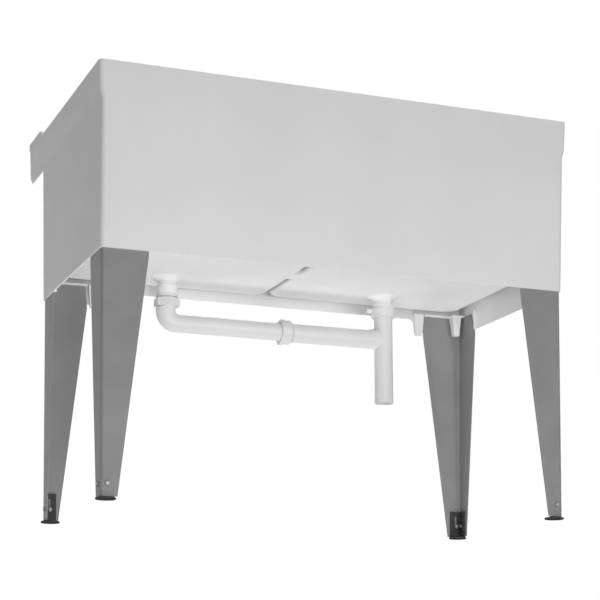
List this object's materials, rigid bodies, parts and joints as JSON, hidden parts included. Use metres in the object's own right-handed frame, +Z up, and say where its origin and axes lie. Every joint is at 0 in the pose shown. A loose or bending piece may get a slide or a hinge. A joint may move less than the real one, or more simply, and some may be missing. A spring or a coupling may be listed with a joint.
{
  "type": "utility laundry sink",
  "caption": "Floor-standing utility laundry sink: a deep moulded tub with side-by-side bowls and a raised faucet deck on tapered sheet-steel legs, its drains joined by waste pipes.",
  "frame": {"origin": "on the floor, under the centre of the overall box", "axes": "+X along the front towards the user's right, +Y from the front to the wall, +Z up"},
  "size_m": [1.016, 0.6096, 0.8532],
  "materials": {
    "tub_plastic": "fine satin moulded finish, cool white",
    "pipe_plastic": "smooth white pipe plastic",
    "leg_steel": "satin grey, coated sheet steel",
    "foot_plastic": "dark grey moulded, dull",
    "screw_zinc": "zinc plated",
    "strainer_steel": "stainless, punched",
    "black_rubber": "dull black"
  },
  "bodies": {
    "sink": {"tub": "tub_plastic", "leg_front_left": "leg_steel", "leg_rear_left": "leg_steel", "leg_front_right": "leg_steel", "leg_rear_right": "leg_steel", "leg_screw_face_front_left": "screw_zinc", "leg_screw_side_front_left": "screw_zinc", "leg_screw_face_rear_left": "screw_zinc", "leg_screw_side_rear_left": "screw_zinc", "leg_screw_face_front_right": "screw_zinc", "leg_screw_side_front_right": "screw_zinc", "leg_screw_face_rear_right": "screw_zinc", "leg_screw_side_rear_right": "screw_zinc", "leg_nut_face_front_left": "screw_zinc", "leg_nut_side_front_left": "screw_zinc", "leg_nut_face_rear_left": "screw_zinc", "leg_nut_side_rear_left": "screw_zinc", "leg_nut_face_front_right": "screw_zinc", "leg_nut_side_front_right": "screw_zinc", "leg_nut_face_rear_right": "screw_zinc", "leg_nut_side_rear_right": "screw_zinc", "strainer_left": "strainer_steel", "strainer_right": "strainer_steel", "drain_coupling_left": "pipe_plastic", "waste_arm": "pipe_plastic", "arm_flat_washer": "black_rubber", "waste_tee": "pipe_plastic", "tee_flat_washer": "black_rubber", "arm_cone_washer": "black_rubber"},
    "foot_fl": {"foot_front_left": "foot_plastic"},
    "foot_fr": {"foot_front_right": "foot_plastic"},
    "foot_rl": {"foot_rear_left": "foot_plastic"},
    "foot_rr": {"foot_rear_right": "foot_plastic"},
    "hex_nut": {"arm_hex_nut": "pipe_plastic"},
    "tee_nut": {"tee_slip_nut": "pipe_plastic"},
    "arm_nut": {"arm_slip_nut": "pipe_plastic"},
    "plug_left": {"stopper_left": "black_rubber"},
    "plug_right": {"stopper_right": "black_rubber"}
  },
  "joints": [
    {"name": "foot_front_left_slide", "type": "slide", "parent": "sink", "child": "foot_fl", "axis": [0.0238, 0.004, -0.9997], "range_m": [0, 0.02]},
    {"name": "foot_front_right_slide", "type": "slide", "parent": "sink", "child": "foot_fr", "axis": [-0.0238, 0.004, -0.9997], "range_m": [0, 0.02]},
    {"name": "foot_rear_left_slide", "type": "slide", "parent": "sink", "child": "foot_rl", "axis": [0.0238, -0.0145, -0.9996], "range_m": [0, 0.02]},
    {"name": "foot_rear_right_slide", "type": "slide", "parent": "sink", "child": "foot_rr", "axis": [-0.0238, -0.0145, -0.9996], "range_m": [0, 0.02]},
    {"name": "arm_hex_nut_turn", "type": "hinge", "parent": "sink", "child": "hex_nut", "pos_m": [-0.25, 0.08, 0.465], "axis": [0, 0, 1], "continuous": true},
    {"name": "tee_slip_nut_turn", "type": "hinge", "parent": "sink", "child": "tee_nut", "pos_m": [0.25, 0.08, 0.485], "axis": [0, 0, 1], "continuous": true},
    {"name": "arm_slip_nut_turn", "type": "hinge", "parent": "sink", "child": "arm_nut", "pos_m": [0.0152, 0.08, 0.4214], "axis": [1, 0, 0], "continuous": true},
    {"name": "stopper_left_lift", "type": "slide", "parent": "sink", "child": "plug_left", "axis": [0, 0, 1], "range_m": [0, 0.1]},
    {"name": "stopper_right_lift", "type": "slide", "parent": "sink", "child": "plug_right", "axis": [0, 0, 1], "range_m": [0, 0.1]}
  ]
}
